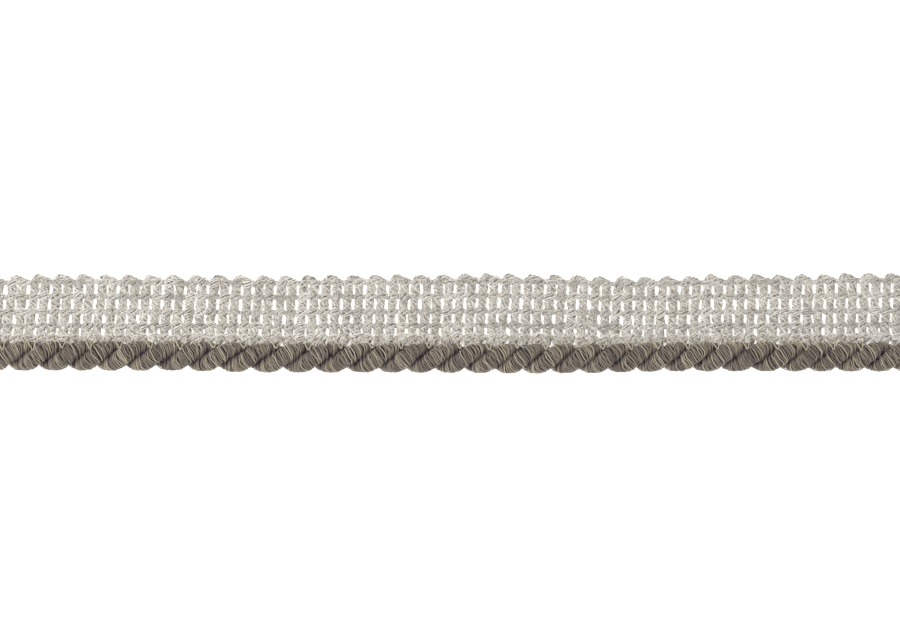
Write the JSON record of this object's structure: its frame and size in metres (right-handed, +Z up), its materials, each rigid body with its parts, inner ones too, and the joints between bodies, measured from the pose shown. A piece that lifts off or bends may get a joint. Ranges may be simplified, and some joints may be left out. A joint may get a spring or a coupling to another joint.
{
  "type": "flanged cord trim, cut length",
  "caption": "Cut length of flanged cord trim: a twisted two-ply cord with a scalloped crochet-knit tape sewn along it, for edging cushions and curtains.",
  "frame": {"origin": "on the resting surface, under the middle of the trim's length and width", "axes": "+X along the trim, +Y from the cord towards the tape's outer edge, +Z up, out of the face that shows"},
  "size_m": [0.21, 0.0224, 0.0064],
  "materials": {
    "cord_yarn": "matt wrapped yarn in khaki and charcoal",
    "tape_yarn": "soft pale grey knitting yarn with a slight sheen",
    "sewing_thread": "cream sewing thread"
  },
  "bodies": {
    "root": {"cord": "cord_yarn", "flange_tape": "tape_yarn"}
  },
  "joints": []
}
